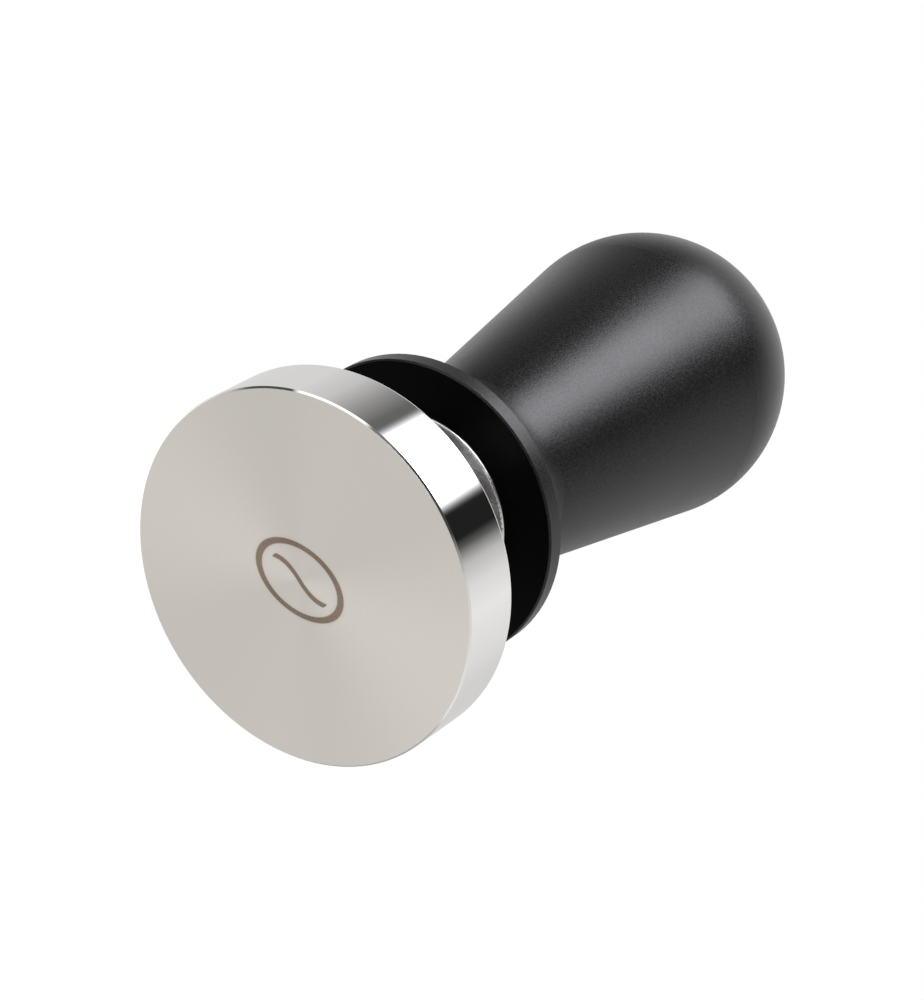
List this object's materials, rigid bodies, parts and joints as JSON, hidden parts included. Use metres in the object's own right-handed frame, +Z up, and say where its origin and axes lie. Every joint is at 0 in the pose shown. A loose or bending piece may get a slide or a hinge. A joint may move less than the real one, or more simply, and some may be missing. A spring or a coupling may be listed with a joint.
{
  "type": "espresso tamper",
  "caption": "Calibrated espresso tamper: flat steel base on a sprung plunger, under a turned black handle with a finger flange and a ball knob.",
  "frame": {"origin": "centre of the flat face that presses the coffee, which is the lowest face as the tamper stands", "axes": "+Z up the common axis from the base to the knob; X and Y square to it, and the part is round about Z"},
  "size_m": [0.053, 0.053, 0.1131],
  "materials": {
    "polished_steel": "mirror-polished side, fine turned face",
    "turned_steel": "fine turned, lightly polished",
    "bolt_steel": "plain bright",
    "spring_steel": "drawn wire, lightly oiled",
    "black_anodised": "bead-blasted and black anodised, satin",
    "black_rubber": "matt moulded",
    "white_nylon": "machined, slightly translucent",
    "bronze": "plain turned"
  },
  "bodies": {
    "base_unit": {"tamping_base": "polished_steel", "base_seal": "black_rubber", "plunger": "turned_steel", "plunger_bolt": "bolt_steel", "lock_washer": "spring_steel", "head_guide_ring": "white_nylon", "lower_spring_seat": "spring_steel", "main_spring": "spring_steel"},
    "spring_cap": {"upper_spring_seat": "white_nylon"},
    "handle": {"handle_body": "black_anodised", "retaining_collar": "turned_steel", "guide_bush": "white_nylon", "wiper_ring": "black_rubber", "bumper_ring": "black_rubber", "thrust_washer": "bronze"}
  },
  "joints": [
    {"name": "handle_press", "type": "slide", "parent": "base_unit", "child": "spring_cap", "axis": [0, 0, -1], "range_m": [0, 0.006], "stiffness_N_per_m": 12000, "springref_m": -0.005, "deforming": ["main_spring"]},
    {"name": "handle_turn", "type": "hinge", "parent": "spring_cap", "child": "handle", "pos_m": [0, 0, 0.0833], "axis": [0, 0, 1], "continuous": true}
  ]
}
